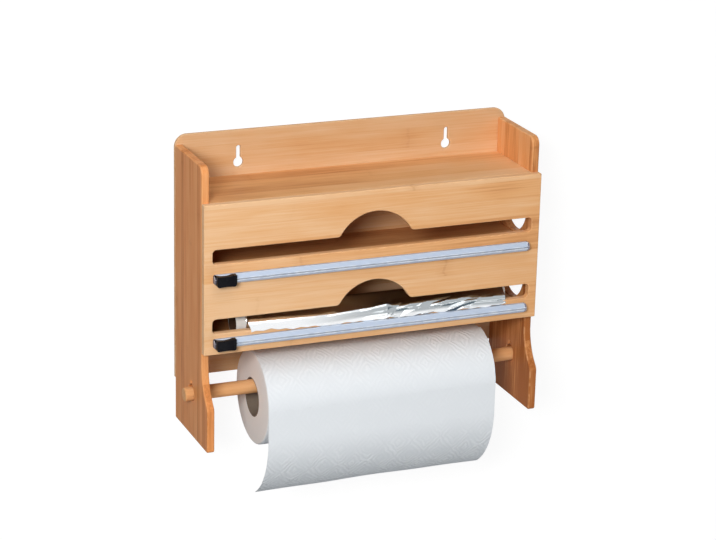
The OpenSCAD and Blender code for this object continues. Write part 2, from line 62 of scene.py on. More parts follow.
# %% Place the camera
picture_w = 716
focal_px = 2363.5
camera_place = (-0.88398, -2.17442, 0.67302)
azimuth, elevation, roll = (radians(a) for a in (22.588, 18.859, 1.382))
away = Vector((-sin(azimuth) * cos(elevation),
               -cos(azimuth) * cos(elevation),
               sin(elevation)))
right = (-away).cross(Vector((0, 0, 1))).normalized()
up = right.cross(-away)
camera_x = cos(roll) * right + sin(roll) * up
camera_y = cos(roll) * up - sin(roll) * right


def fresh(name, operator, **settings):
    """The object that an operator adds, under its name."""
    bpy.ops.object.select_all(action="DESELECT")
    operator(**settings)
    bpy.context.object.name = name
    return bpy.context.object


camera = fresh("picture_camera", bpy.ops.object.camera_add)
camera.matrix_world = (Matrix.Translation(camera_place)
                       @ Matrix((camera_x, camera_y, away)).transposed().to_4x4())
camera.data.sensor_width = 36
camera.data.lens = focal_px * camera.data.sensor_width / picture_w
scene.camera = camera
print("lens, mm:", round(camera.data.lens, 2))

# %% [markdown]
# ## Node helpers
# A shader tree is quicker to read when a node, its settings and what feeds it stand together.
# These helpers add one node at a time: an input is either a plain value or another node's socket.
# A recipe that several finishes share becomes a node group, which new_group opens and use_group
# places in a material.

# %% Helpers for single nodes
def feed(tree, sockets, values):
    for key, value in values.items():
        if isinstance(value, bpy.types.NodeSocket):
            tree.links.new(value, sockets[key])
        else:
            sockets[key].default_value = value


def add_node(tree, kind, inputs=None, **settings):
    """kind is the node's type without its ShaderNode prefix."""
    made = tree.nodes.new("ShaderNode" + kind)
    for key, value in settings.items():
        setattr(made, key, value)
    feed(tree, made.inputs, inputs or {})
    return made


def calc(tree, operation, a, b=0.0, c=0.0, clamp=False):
    made = add_node(tree, "Math", {0: a, 1: b, 2: c}, operation=operation, use_clamp=clamp)
    return made.outputs[0]


def times(tree, a, b, clamp=False):
    return calc(tree, "MULTIPLY", a, b, clamp=clamp)


def times_plus(tree, a, b, c, clamp=False):
    return calc(tree, "MULTIPLY_ADD", a, b, c, clamp)


def blend_colour(tree, factor, a, b):
    return add_node(tree, "Mix", {0: factor, 6: a, 7: b}, data_type="RGBA").outputs[2]


def step_mask(tree, value, full, none):
    """1 where the value is at full, 0 where it is at none, with a soft step between them."""
    made = add_node(tree, "MapRange", {"Value": value, "From Min": none, "From Max": full},
                    interpolation_type="SMOOTHSTEP")
    return made.outputs[0]


def combine(tree, x, y, z):
    return add_node(tree, "CombineXYZ", {0: x, 1: y, 2: z}).outputs[0]


def split(tree, vector):
    return add_node(tree, "SeparateXYZ", {0: vector}).outputs


def scaled(tree, vector, factors):
    made = add_node(tree, "VectorMath", {0: vector, 1: factors}, operation="MULTIPLY")
    return made.outputs[0]


def in_mm(tree, vector):
    made = add_node(tree, "VectorMath", {0: vector, "Scale": mm_per_metre}, operation="SCALE")
    return made.outputs[0]


def cloud(tree, vector, scale, detail=2.0, rough=0.5):
    made = add_node(tree, "TexNoise",
                    {"Vector": vector, "Scale": scale, "Detail": detail, "Roughness": rough})
    return made.outputs["Fac"]


print("node helpers ready")

# %% Helpers for groups and materials
def new_group(name, inputs, outputs):
    """An empty group; inputs and outputs list their labels by kind of socket."""
    tree = bpy.data.node_groups.new(name, "ShaderNodeTree")
    for side, sockets in (("INPUT", inputs), ("OUTPUT", outputs)):
        for kind, labels in sockets.items():
            for label in labels.split():
                tree.interface.new_socket(name=label, in_out=side, socket_type="NodeSocket" + kind)
    return tree, tree.nodes.new("NodeGroupInput").outputs, tree.nodes.new("NodeGroupOutput").inputs


def use_group(tree, group, inputs):
    return add_node(tree, "Group", inputs, node_tree=group).outputs


def new_material(name):
    material = bpy.data.materials.new(name)
    material.use_nodes = True
    return material, material.node_tree, material.node_tree.nodes["Principled BSDF"].inputs


def object_place(tree, move=(0, 0, 0), turn=(0, 0, 0)):
    here = add_node(tree, "TexCoord").outputs["Object"]
    made = add_node(tree, "Mapping", {"Vector": here, "Location": move, "Rotation": turn})
    return made.outputs[0]


def bump(tree, height, shader, strength, distance):
    made = add_node(tree, "Bump", {"Height": height, "Strength": strength, "Distance": distance})
    tree.links.new(made.outputs[0], shader["Normal"])


print("material helpers ready")

# %% [markdown]
# ## Wall and floor
# The holder hangs on a white wall. The wall is a plane whose material shows only to the camera
# and in reflections, and only from its front, so light still reaches the back of the holder and
# the back can be looked at through it. Emission lifts it to white, and a little matte grey on top
# of that takes the shadow. The air is white to the eye too, and a dim fill as light.

# %% Wall, floor and world
stage_matte = (0.15, 0.15, 0.15, 1)
wall_glow, floor_glow = 0.895, 0.88
wall_gap, stage_size = 1.5 * mm, 6.0
upright = (pi / 2, 0, 0)


def seen_directly(tree):
    """1 for what the camera sees, also in a mirror or through glass, and 0 for scattered light."""
    path = add_node(tree, "LightPath").outputs
    seen = calc(tree, "ADD", path["Is Camera Ray"], path["Is Glossy Ray"])
    return calc(tree, "ADD", seen, path["Is Transmission Ray"], clamp=True)


def stage_white(name, glow):
    material, tree, _ = new_material(name)
    tree.nodes.clear()
    rear = add_node(tree, "NewGeometry").outputs["Backfacing"]
    shown = calc(tree, "SUBTRACT", seen_directly(tree), rear, clamp=True)
    matte = add_node(tree, "BsdfDiffuse", {"Color": stage_matte})
    light = add_node(tree, "Emission", {"Strength": glow})
    lit = add_node(tree, "AddShader", {0: matte.outputs[0], 1: light.outputs[0]})
    clear = add_node(tree, "BsdfTransparent")
    mixed = add_node(tree, "MixShader", {0: shown, 1: clear.outputs[0], 2: lit.outputs[0]})
    add_node(tree, "OutputMaterial", {"Surface": mixed.outputs[0]})
    return material


def stage_plane(name, place, turn, glow):
    plane = fresh(name, bpy.ops.mesh.primitive_plane_add, size=stage_size, location=place, rotation=turn)
    bpy.ops.object.transform_apply()
    plane.data.materials.append(stage_white(name + "_white", glow))
    print("stage:", name)


stage_plane("studio_wall", (0, wall_gap, 0.2), upright, wall_glow)
stage_plane("studio_floor", (0, -2.0, -0.95), (0, 0, 0), floor_glow)

world = bpy.data.worlds.new("studio_air")
scene.world = world
world.use_nodes = True
air = world.node_tree
air_light = 0.12
strength = times_plus(air, seen_directly(air), 1 - air_light, air_light)
feed(air, air.nodes["Background"].inputs, {"Color": (0.97, 0.985, 1.0, 1), "Strength": strength})
scene.view_settings.view_transform = "Standard"
print("world:", world.name)

# %% [markdown]
# ## Light
# One soft lamp stands in front, to the left, not very high, so the top of the roll is lit, and the
# roll and the front panel throw their shadow on the right side panel. A weak lamp above lights the
# shelf, and a weak one low on the right opens the shadow under the roll. A lamp behind the wall
# only serves the views of the back and the right side; the wall lets its light through.

# %% Lamps
def soft_lamp(name, place, aim, size, watts, tint):
    lamp = fresh(name, bpy.ops.object.light_add, type="AREA", location=place)
    lamp.data.size = size
    lamp.data.energy = watts
    lamp.data.color = tint
    lamp.rotation_euler = (Vector(aim) - Vector(place)).to_track_quat("-Z", "Y").to_euler()


holder_middle = (0, -0.05, -0.12)
warm, nearly_white, cool = (1.0, 0.985, 0.965), (1.0, 0.99, 0.98), (0.97, 0.99, 1.0)
soft_lamp("key_lamp", (-1.28, -1.87, 0.80), holder_middle, 0.7, 45, warm)
soft_lamp("top_lamp", (-0.1, -0.72, 1.35), holder_middle, 1.2, 10, nearly_white)
soft_lamp("fill_lamp", (0.5, -1.2, -1.2), holder_middle, 1.2, 7, cool)
soft_lamp("rear_lamp", (0.9, 1.9, -0.5), holder_middle, 1.2, 30, nearly_white)

# %% [markdown]
# ## Bamboo
# The boards are glued from bamboo strips. Each strip has its own tone, long fibres, and a short
# band where the cane had a joint. A picture of wood would do, but a node group that works in
# millimetres lets every board run its strips in its own direction from one recipe: X runs along
# the fibres and Y across the strips.

# %% Bamboo recipe
def bamboo_recipe():
    tree, take, give = new_group(
        "bamboo strips",
        {"Vector": "Vector", "Float": "Strip Seed Depth Knots Start Drift", "Color": "Pale Honey Brown"},
        {"Color": "Color", "Float": "Roughness Height"})
    x, y, z = split(tree, in_mm(tree, take["Vector"]))
    strips = calc(tree, "DIVIDE", y, take["Strip"])
    across = calc(tree, "ADD", strips, times(tree, take["Seed"], 0.37))
    row = calc(tree, "FLOOR", across)
    dice = add_node(tree, "TexWhiteNoise", {"W": calc(tree, "ADD", row, take["Seed"])},
                    noise_dimensions="1D").outputs
    offset_a, offset_b, strong = add_node(tree, "SeparateColor", {0: dice["Color"]}).outputs
    run = calc(tree, "ADD", x, times(tree, offset_a, 400.0))

    def grain(along, side, detail, rough):
        stretched = combine(tree, times(tree, run, along), times(tree, y, side), times(tree, z, side))
        return calc(tree, "SUBTRACT", cloud(tree, stretched, 1.0, detail, rough), 0.5)

    fibre = grain(0.010, 0.55, 5.0, 0.62)
    hair = grain(0.030, 2.6, 3.0, 0.6)
    haze = grain(0.012, 0.045, 2.0, 0.5)
    # A joint of the cane: a soft, uneven band in some strips, each at a place of its own
    period = 330.0
    shifted = times_plus(tree, offset_b, period, x)
    turns = calc(tree, "FRACT", calc(tree, "DIVIDE", shifted, period))
    unbent = times(tree, calc(tree, "SUBTRACT", turns, 0.5), period)
    bent = times_plus(tree, grain(0.004, 0.16, 2.0, 0.5), 11.0, unbent)
    from_joint = calc(tree, "ABSOLUTE", bent)
    patchy = times_plus(tree, fibre, 1.6, 0.6, clamp=True)
    present = times(tree, step_mask(tree, strong, 1.0, 0.35), patchy)
    joint = times(tree, step_mask(tree, from_joint, 0.3, 2.4), present)
    halo = times(tree, step_mask(tree, from_joint, 1.0, 13.0), present)
    # The glue line between two strips
    part = calc(tree, "FRACT", across)
    to_edge = calc(tree, "MINIMUM", part, calc(tree, "SUBTRACT", 1.0, part))
    to_seam = times(tree, to_edge, take["Strip"])
    seam = step_mask(tree, to_seam, 0.0, 0.4)
    tone = times(tree, calc(tree, "SUBTRACT", dice["Value"], 0.5), 0.42)
    for part_tone, share in ((fibre, 0.85), (hair, 0.5), (haze, 0.7)):
        tone = times_plus(tree, part_tone, share, tone)
    tone = times_plus(tree, tone, take["Depth"], take["Start"])
    # painted light and shade: the tone drifts along the fibres, so a board is lighter at one end and
    # darker at the other
    tone = times_plus(tree, x, take["Drift"], tone)
    colour = blend_colour(tree, times(tree, tone, 2.0, clamp=True), take["Pale"], take["Honey"])
    deep = times_plus(tree, tone, 2.0, -1.0, clamp=True)
    colour = blend_colour(tree, deep, colour, take["Brown"])
    band = times_plus(tree, joint, 0.5, times(tree, halo, 0.38))
    spot = times(tree, band, take["Knots"], clamp=True)
    for mask in (spot, times(tree, seam, 0.12)):
        colour = blend_colour(tree, mask, colour, take["Brown"])
    height = times_plus(tree, fibre, 0.4, times(tree, hair, 0.5))
    height = times_plus(tree, seam, -0.4, height)
    feed(tree, give, {"Color": colour, "Roughness": times_plus(tree, fibre, 0.18, 0.46),
                      "Height": times_plus(tree, joint, 0.2, height)})
    return tree


bamboo_strips = bamboo_recipe()
print("recipe:", bamboo_strips.name, len(bamboo_strips.nodes), "nodes")

# %% [markdown]
# ## Rubbed edges and painted highlights
# Hands and cloths rub the edges of wood, metal and plastic, in patches; on the wood the paler edge
# is also a painted highlight of its lit rim. The pieces carry a mark on their rounded edges, and this
# group breaks that mark up, so that every finish can share it.

# %% Rubbed edge and painted highlight recipe
def edge_wear_and_highlight_recipe():
    tree, take, give = new_group(
        "edge wear and highlight", {"Vector": "Vector", "Float": "Edge Amount"}, {"Float": "Mask"})
    patch = step_mask(tree, cloud(tree, take["Vector"], 140.0, 3.0), 0.62, 0.34)
    rubbed_and_highlit = times(tree, take["Edge"], patch)
    tree.links.new(times(tree, rubbed_and_highlit, take["Amount"], clamp=True), give["Mask"])
    return tree


edge_wear_and_highlight = edge_wear_and_highlight_recipe()


def worn_and_highlit_edges(tree, place, amount):
    edge = add_node(tree, "Attribute", attribute_name="eased_edge").outputs["Fac"]
    return use_group(tree, edge_wear_and_highlight, {"Vector": place, "Edge": edge, "Amount": amount})["Mask"]


print("recipe:", edge_wear_and_highlight.name)

# %% [markdown]
# ## Bamboo finishes
# Each board is glued from other canes, so each has its own seed, strip width and tone: the side
# panels are redder, the back is duller. Start sets the tone, from pale over honey to brown. A painted
# light gradient along the fibres changes it: the front panel is paler at its left end, and painted
# shade darkens the shelf towards its left end and the side panels towards their feet, the right one
# most. The wood has no varnish, so it hardly shines.

# %% Bamboo finishes
board_tones = ((0.81, 0.515, 0.290, 1), (0.74, 0.385, 0.165, 1), (0.50, 0.205, 0.072, 1))
back_tones = ((0.72, 0.48, 0.290, 1), (0.65, 0.355, 0.160, 1), (0.43, 0.180, 0.068, 1))
left_tones = ((0.82, 0.405, 0.172, 1), (0.74, 0.292, 0.097, 1), (0.48, 0.162, 0.046, 1))
# the right panel's darker brown deepens the painted shade that the drift puts at its foot, where the
# roll's shadow falls
right_tones_and_foot_shade = ((0.81, 0.46, 0.230, 1), (0.75, 0.345, 0.130, 1), (0.38, 0.125, 0.035, 1))


def bamboo_finish(name, turn, seed, strip, start, depth=1.0, knots=0.5, drift=0.0, tones=board_tones):
    material, tree, shader = new_material(name)
    pale, honey, brown = tones
    place = object_place(tree, turn=turn)
    wood = use_group(tree, bamboo_strips,
                     {"Vector": place, "Strip": strip, "Seed": seed, "Depth": depth, "Knots": knots,
                      "Start": start, "Drift": drift, "Pale": pale, "Honey": honey, "Brown": brown})
    # rubbed edges, and a painted highlight on the lit rims, turn the wood pale
    wear_and_highlight = worn_and_highlit_edges(tree, place, 0.35)
    feed(tree, shader, {"Base Color": blend_colour(tree, wear_and_highlight, wood["Color"], pale),
                        "Roughness": wood["Roughness"], "Specular IOR Level": 0.06})
    bump(tree, wood["Height"], shader, 0.35, 0.12 * mm)
    return material


along_x_up = (pi / 2, 0, 0)
along_x_flat = (0, 0, 0)
along_z = (0, pi / 2, 0)
# Each takes its fibre direction, seed, strip width in mm, start, depth, knots and painted light drift
front_bamboo = bamboo_finish("front_bamboo", along_x_up, 338.0, 19.0, 0.28, 1.1, 0.6, 0.0009)
back_bamboo = bamboo_finish("back_bamboo", along_x_up, 8.0, 21.0, 0.28, 0.9, 0.7, tones=back_tones)
shelf_bamboo = bamboo_finish("shelf_bamboo", along_x_flat, 12.0, 20.0, 0.52, 0.8, 0.9, -0.0013)
floor_bamboo = bamboo_finish("floor_bamboo", along_x_flat, 17.0, 20.0, 0.95, 0.9, 0.6)
left_bamboo = bamboo_finish("left_bamboo", along_z, 21.0, 8.5, 0.5, 1.1, 0.7, -0.0003, left_tones)
right_bamboo = bamboo_finish("right_bamboo", along_z, 26.0, 8.5, 0.50, 1.1, 0.7, -0.0024, right_tones_and_foot_shade)
rod_bamboo = bamboo_finish("rod_bamboo", along_x_flat, 31.0, 60.0, 0.55, 0.8, 0.3)
pin_bamboo = bamboo_finish("pin_bamboo", along_x_flat, 35.0, 60.0, 0.55, 0.8, 0.3)
print("bamboo finishes:", [m.name for m in bpy.data.materials if "bamboo" in m.name])

# %% [markdown]
# ## Working on one piece
# Blender's operators act on what is selected, so each step first selects one piece alone. A piece
# that keeps the shape of its solid starts as a merged copy of it: the loose triangles are welded and
# flat ones are dissolved into whole faces.

# %% Helpers for one piece
def leave_edit():
    bpy.ops.object.mode_set(mode="OBJECT")


def activate(piece):
    if bpy.context.object and bpy.context.object.mode != "OBJECT":
        leave_edit()
    bpy.ops.object.select_all(action="DESELECT")
    piece.select_set(True)
    bpy.context.view_layer.objects.active = piece


def edit_all(piece):
    activate(piece)
    bpy.ops.object.mode_set(mode="EDIT")
    bpy.ops.mesh.select_all(action="SELECT")


def apply_modifiers(piece):
    activate(piece)
    for modifier in list(piece.modifiers):
        bpy.ops.object.modifier_apply(modifier=modifier.name)


def pick(piece, wanted):
    """Open the piece in edit mode with the vertices selected whose place is wanted."""
    activate(piece)
    mesh = piece.data
    for parts in (mesh.edges, mesh.polygons):
        parts.foreach_set("select", np.zeros(len(parts), dtype=bool))
    for vertex in mesh.vertices:
        vertex.select = wanted(vertex.co)
    bpy.ops.object.mode_set(mode="EDIT")
    bpy.ops.mesh.select_mode(type="VERT")


def merged_copy(node, name):
    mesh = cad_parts[node].data.copy()
    mesh.materials.clear()
    piece = bpy.data.objects.new(name, mesh)
    scene.collection.objects.link(piece)
    edit_all(piece)
    bpy.ops.mesh.remove_doubles(threshold=0.004 * mm)
    bpy.ops.mesh.dissolve_limited(angle_limit=radians(0.4))
    leave_edit()
    return piece


def stand_for(piece, node, body):
    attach(piece, body)
    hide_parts(node)


def dress(piece, node, body, material):
    piece.data.materials.append(material)
    stand_for(piece, node, body)
    print(piece.name, "faces:", len(piece.data.polygons))


print("nodes to dress:", len(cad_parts))

# %% [markdown]
# ## Eased edges
# The solids have sharp edges. On the real pieces a sander or a mould has taken them off, which a
# Bevel modifier does as well. Small drilled holes stay crisp: a run of sharp edges that reaches
# less far than a set size gets no bevel weight. All faces are cut into triangles before the bevel,
# so that none with a hole in it folds over itself. The bevel marks its faces, and the mark becomes
# an attribute that the finishes read for their rubbed edges and painted highlights. Weighted normals
# keep the large faces flat beside the rounded edges.

# %% Helpers for eased edges
def sharp_runs(mesh, corner):
    """Each sharp edge with the reach of the run of sharp edges that it belongs to."""
    sides = {}
    for face in mesh.polygons:
        for key in face.edge_keys:
            sides.setdefault(key, []).append(face.normal)
    sharp = [edge for edge in mesh.edges
             if len(sides[edge.key]) == 2 and sides[edge.key][0].angle(sides[edge.key][1], 0.0) > corner]
    leader = list(range(len(mesh.vertices)))

    def lead(v):
        while leader[v] != v:
            v = leader[v]
        return v

    for edge in sharp:
        a, b = sorted((lead(edge.vertices[0]), lead(edge.vertices[1])))
        leader[b] = a
    corners = {}
    for edge in sharp:
        for v in edge.vertices:
            corners.setdefault(lead(v), []).append(tuple(mesh.vertices[v].co))
    reach = {run: np.ptp(np.array(places), axis=0).max() for run, places in corners.items()}
    return [(edge, reach[lead(edge.vertices[0])]) for edge in sharp]


def ease_edges(piece, width, segments=3, corner=35, smallest=0.0):
    edit_all(piece)
    bpy.ops.mesh.quads_convert_to_tris()
    leave_edit()
    mesh = piece.data
    weight = mesh.attributes.new("bevel_weight_edge", "FLOAT", "EDGE")
    for edge, reach in sharp_runs(mesh, radians(corner)):
        weight.data[edge.index].value = 1.0 if reach > smallest else 0.0
    bevel = piece.modifiers.new("eased edges", "BEVEL")
    bevel.width = width
    bevel.segments = segments
    bevel.limit_method = "WEIGHT"
    bevel.use_clamp_overlap = False
    bevel.loop_slide = False
    bevel.material = 1
    for _ in range(2):
        mesh.materials.append(None)
    apply_modifiers(piece)
    marks = np.zeros(len(mesh.polygons), dtype=np.int32)
    mesh.polygons.foreach_get("material_index", marks)
    edge = mesh.attributes.new("eased_edge", "FLOAT", "FACE")
    edge.data.foreach_set("value", (marks == 1).astype(np.float32))
    mesh.polygons.foreach_set("material_index", np.zeros(len(marks), dtype=np.int32))
    mesh.materials.clear()
    bpy.ops.object.shade_smooth_by_angle(angle=radians(corner))
    flat = piece.modifiers.new("flat faces stay flat", "WEIGHTED_NORMAL")
    flat.weight = 100
    flat.keep_sharp = True
    apply_modifiers(piece)


print("edge helpers ready")

# %% [markdown]
# ## Boards
# Five outer boards and two inner floors make the carcass. The side panels are rounded most, because
# hands take hold of them. The screw and pin holes are under 9 mm, so they keep their crisp edges.

# %% Boards
drilled_hole = 9 * mm
boards = (("back_panel", "bamboo", back_bamboo, 0.8),
          ("left_side_panel", "bamboo", left_bamboo, 1.3),
          ("right_side_panel", "bamboo", right_bamboo, 1.3),
          ("front_panel", "bamboo", front_bamboo, 1.0),
          ("top_shelf", "bamboo", shelf_bamboo, 0.5),
          ("upper_floor", "bamboo_inner", floor_bamboo, 0.5),
          ("lower_floor", "bamboo_inner", floor_bamboo, 0.5))
for node, slot, material, width in boards:
    board = merged_copy(node, node + "_board")
    ease_edges(board, width * mm, smallest=drilled_hole)
    dress(board, node, "frame", material)

# %% [markdown]
# ## Cutter rails
# A rail is a drawn aluminium section, clear anodised, so it shows fine lines along its length and
# a soft cool shine. Its small edges are rounded a little; the lines come from a noise that is
# stretched along X. The lips of its groove are drawn together by a resize about the groove's middle,
# and the faces inside get a paler, matte finish, painted light that lifts the groove's shade, so
# that the groove reads as a thin line. A darker cap closes each end.

# %% Rails and end caps
bare_metal = (0.95, 0.96, 0.97, 1)


def toned(colour, share):
    return tuple(share * c for c in colour) + (1,)


def drawn_metal(name, colour, rough, line_depth, metallic=1.0):
    material, tree, shader = new_material(name)
    place = object_place(tree)
    lines = cloud(tree, scaled(tree, place, (6.0, 5200.0, 5200.0)), 1.0, 3.0, 0.6)
    dull = cloud(tree, place, 60.0, 3.0)
    tint = blend_colour(tree, lines, toned(colour, 0.9), toned(colour, 1.0))
    wear_and_highlight = worn_and_highlit_edges(tree, place, 0.5)
    gloss = times_plus(tree, lines, 0.12, rough - 0.06)
    smudge = times_plus(tree, dull, 0.1, -0.05)
    feed(tree, shader, {"Base Color": blend_colour(tree, wear_and_highlight, tint, bare_metal),
                        "Roughness": calc(tree, "ADD", gloss, smudge), "Metallic": metallic})
    bump(tree, lines, shader, line_depth, 0.02 * mm)
    return material


rail_metal = drawn_metal("rail_metal", (0.455, 0.53, 0.655), 0.55, 0.3, 0.35)
# painted light: the inside of the groove is pale and matte, lifting its shade
rail_groove_painted_light = drawn_metal("rail_groove_painted_light", (0.80, 0.83, 0.88), 0.6, 0.2, 0.0)
cap_silver = drawn_metal("cap_silver", (0.17, 0.16, 0.21), 0.4, 0.15, 0.4)
levels = ("upper", "lower")
groove_up, lip_from_groove, lip_depth, lip_squeeze = 4 * mm, 0.7 * mm, 2.5 * mm, 0.72
channel_half, wall_depth = 2.3 * mm, 0.5 * mm


def on_lip(co):
    return abs(abs(co.z - groove_z) - lip_from_groove) < 0.05 * mm and co.y < nose_y + lip_depth


for level in levels:
    rail = merged_copy(level + "_rail", level + "_rail_section")
    nose_y = min(v.co.y for v in rail.data.vertices)
    groove_z = min(v.co.z for v in rail.data.vertices) + groove_up
    pick(rail, on_lip)
    bpy.ops.transform.resize(value=(1, 1, lip_squeeze), center_override=(0, nose_y, groove_z))
    leave_edit()
    ease_edges(rail, 0.25 * mm, 3, 20)
    dress(rail, level + "_rail", "frame", rail_metal)
    rail.data.materials.append(rail_groove_painted_light)
    for face in rail.data.polygons:
        _, y, z = face.center
        in_channel = abs(z - groove_z) < channel_half and y > nose_y + wall_depth
        if in_channel and abs(face.normal.x) < 0.5:
            face.material_index = 1
    caps = merged_copy(level + "_rail_caps", level + "_rail_end_caps")
    ease_edges(caps, 0.3 * mm, 3, 20)
    dress(caps, level + "_rail_caps", "frame", cap_silver)

# %% [markdown]
# ## Sliders
# The slider is a glossy black moulding that a thumb pushes along the rail. Its edges are well
# rounded, and the plastic has the faint orange peel that a polished mould leaves.

# %% Sliders
def moulded_plastic(name, colour, rough, peel, shine=0.5):
    material, tree, shader = new_material(name)
    place = object_place(tree)
    grain = cloud(tree, place, 900.0, 2.0)
    smear = cloud(tree, place, 120.0, 3.0)
    tint = blend_colour(tree, smear, toned(colour, 0.8), toned(colour, 1.2))
    scuffed = tuple(min(1.0, 1.3 * c + 0.01) for c in colour) + (1,)
    wear_and_highlight = worn_and_highlit_edges(tree, place, 0.3)
    feed(tree, shader, {"Base Color": blend_colour(tree, wear_and_highlight, tint, scuffed),
                        "Roughness": times_plus(tree, smear, 0.2, rough - 0.1),
                        "Specular IOR Level": shine})
    bump(tree, grain, shader, peel, 0.05 * mm)
    return material


slider_black = moulded_plastic("slider_black", (0.003, 0.003, 0.005), 0.28, 0.1, 0.08)
runner_white = moulded_plastic("runner_white", (0.72, 0.72, 0.70), 0.45, 0.1)
for level in levels:
    slider = merged_copy(level + "_slider", level + "_slider_grip")
    ease_edges(slider, 0.45 * mm, 4, 28)
    dress(slider, level + "_slider", level + "_cutter", slider_black)

# %% [markdown]
# ## Paper
# Kitchen paper is soft, matte and embossed in slanting lines that form diamonds inside each other.
# The emboss is a sine of the folded distance from each diamond's middle, bent a little and fading
# here and there, as soft paper does. It is a group, because the roll and the sheet both wear it.

# %% Paper recipe
diamond_w, diamond_h, ridge_pitch = 16.0, 21.0, 5.6


def emboss_recipe():
    tree, take, give = new_group("paper emboss", {"Vector": "Vector"}, {"Float": "Height Fibre"})
    x, y, _ = split(tree, take["Vector"])
    lint = cloud(tree, take["Vector"], 1.6, 4.0, 0.7)
    sway = cloud(tree, take["Vector"], 0.11, 3.0)
    from_side = calc(tree, "PINGPONG", x, diamond_w)
    from_middle = times_plus(tree, calc(tree, "PINGPONG", y, diamond_h), 0.8, from_side)
    lap = times_plus(tree, sway, 9.0, from_middle)
    wave = calc(tree, "SINE", times(tree, lap, tau / ridge_pitch))
    ridge = times_plus(tree, wave, 0.5, 0.5)
    soft = step_mask(tree, cloud(tree, take["Vector"], 0.06, 2.0), 0.68, 0.32)
    press = times(tree, ridge, times_plus(tree, soft, 1.1, 0.25))
    feed(tree, give, {"Height": times_plus(tree, lint, 0.3, press), "Fibre": lint})
    return tree


paper_emboss = emboss_recipe()
print("recipe:", paper_emboss.name)

# %% [markdown]
# ## Paper finishes
# Paper that is pulled taut loses its emboss, and slack paper shows it, so the finish takes a slack
# that raises both the bump and a painted shade of the ridges in the colour. The wound roll reads its
# pattern from its unrolled surface, the sheet from its UV map. The ends of a roll show the edges of
# many layers.

# %% Paper finishes
paper_white = (0.80, 0.835, 0.87, 1)
# the darker end of the paper's own tone, and also the dark of the emboss's painted shade
paper_shade = (0.66, 0.70, 0.74, 1)
mean_height, wound_slack = 0.55, 0.5
# Millimetres from the sheet's free edge where its slack is full, and where it has gone
free_slack, roll_slack = (25.0, 85.0), (170.0, 120.0)


def paper_finish(name, vector_of, strength, slack_of):
    """slack_of(tree), from 0 to 1, says how far the emboss stands up and how strong its painted shade is.
    """
    material, tree, shader = new_material(name)
    pressed = use_group(tree, paper_emboss, {"Vector": vector_of(tree)})
    slack = slack_of(tree)
    fibre_tone = times_plus(tree, pressed["Fibre"], 0.2, 0.62)
    # painted shade: valleys of the emboss are darker and ridges lighter in the colour, as low light would
    # shade them
    emboss_painted_shade = times(tree, calc(tree, "SUBTRACT", pressed["Height"], mean_height), slack)
    tone = times_plus(tree, emboss_painted_shade, 0.8, fibre_tone)
    feed(tree, shader, {"Base Color": blend_colour(tree, tone, paper_shade, paper_white),
                        "Roughness": times_plus(tree, pressed["Fibre"], 0.1, 0.85),
                        "Specular IOR Level": 0.15})
    bump(tree, times(tree, pressed["Height"], slack), shader, strength, 0.35 * mm)
    return material


def from_uv(tree):
    return in_mm(tree, add_node(tree, "UVMap", uv_map="flat").outputs[0])


def sheet_slack(tree):
    """The free end is slack, the part that hangs straight is pulled nearly flat."""
    _, from_edge, _ = split(tree, from_uv(tree))
    free_end = step_mask(tree, from_edge, *free_slack)
    on_roll = step_mask(tree, from_edge, *roll_slack)
    return times_plus(tree, on_roll, 0.4, times_plus(tree, free_end, 0.9, 0.1))


def unrolled(axis_y, axis_z, radius):
    def build(tree):
        place = object_place(tree, move=(0, -axis_y, -axis_z))
        x, y, z = split(tree, place)
        around = times(tree, calc(tree, "ARCTAN2", z, y), radius * mm_per_metre)
        return combine(tree, times(tree, x, mm_per_metre), around, 0.0)
    return build


print("paper:", paper_shade, "to", paper_white)

# %% Ends of a wound roll
def wound_end(name, axis_y, axis_z, light, dark, pitch, rough, metallic=0.0):
    material, tree, shader = new_material(name)
    place = object_place(tree, move=(0, -axis_y, -axis_z))
    _, y, z = split(tree, place)
    square = times_plus(tree, y, y, times(tree, z, z))
    layers = times(tree, calc(tree, "SQRT", square), mm_per_metre / pitch)
    sway = cloud(tree, place, 45.0, 3.0)
    lap = times_plus(tree, sway, 3.0, layers)
    rings = cloud(tree, combine(tree, lap, 0.0, 0.0), 1.0, 3.0, 0.7)
    feed(tree, shader, {"Base Color": blend_colour(tree, rings, dark, light),
                        "Roughness": times_plus(tree, rings, 0.1, rough - 0.05),
                        "Metallic": metallic, "Specular IOR Level": 0.2})
    bump(tree, rings, shader, 0.5, 0.25 * mm)
    return material


print("finish for wound ends ready")

# %% [markdown]
# ## Towel roll
# The roll is a ring with a softly rounded rim. Its section starts as a flat plane; the two outer
# corners are bevelled, the face is removed and the outline is spun about the rod's direction, the
# way a potter throws a ring. The outside and the ends get different finishes: pressed paper, and
# the edges of many wound layers.

# %% Towel roll
roll_low, roll_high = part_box("towel_winding")
core_low, core_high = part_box("towel_core")
roll_y, roll_z = (roll_low[1] + roll_high[1]) / 2, (roll_low[2] + roll_high[2]) / 2
roll_r, core_r = (roll_high[2] - roll_low[2]) / 2, (core_high[2] - core_low[2]) / 2
ring_steps = 160


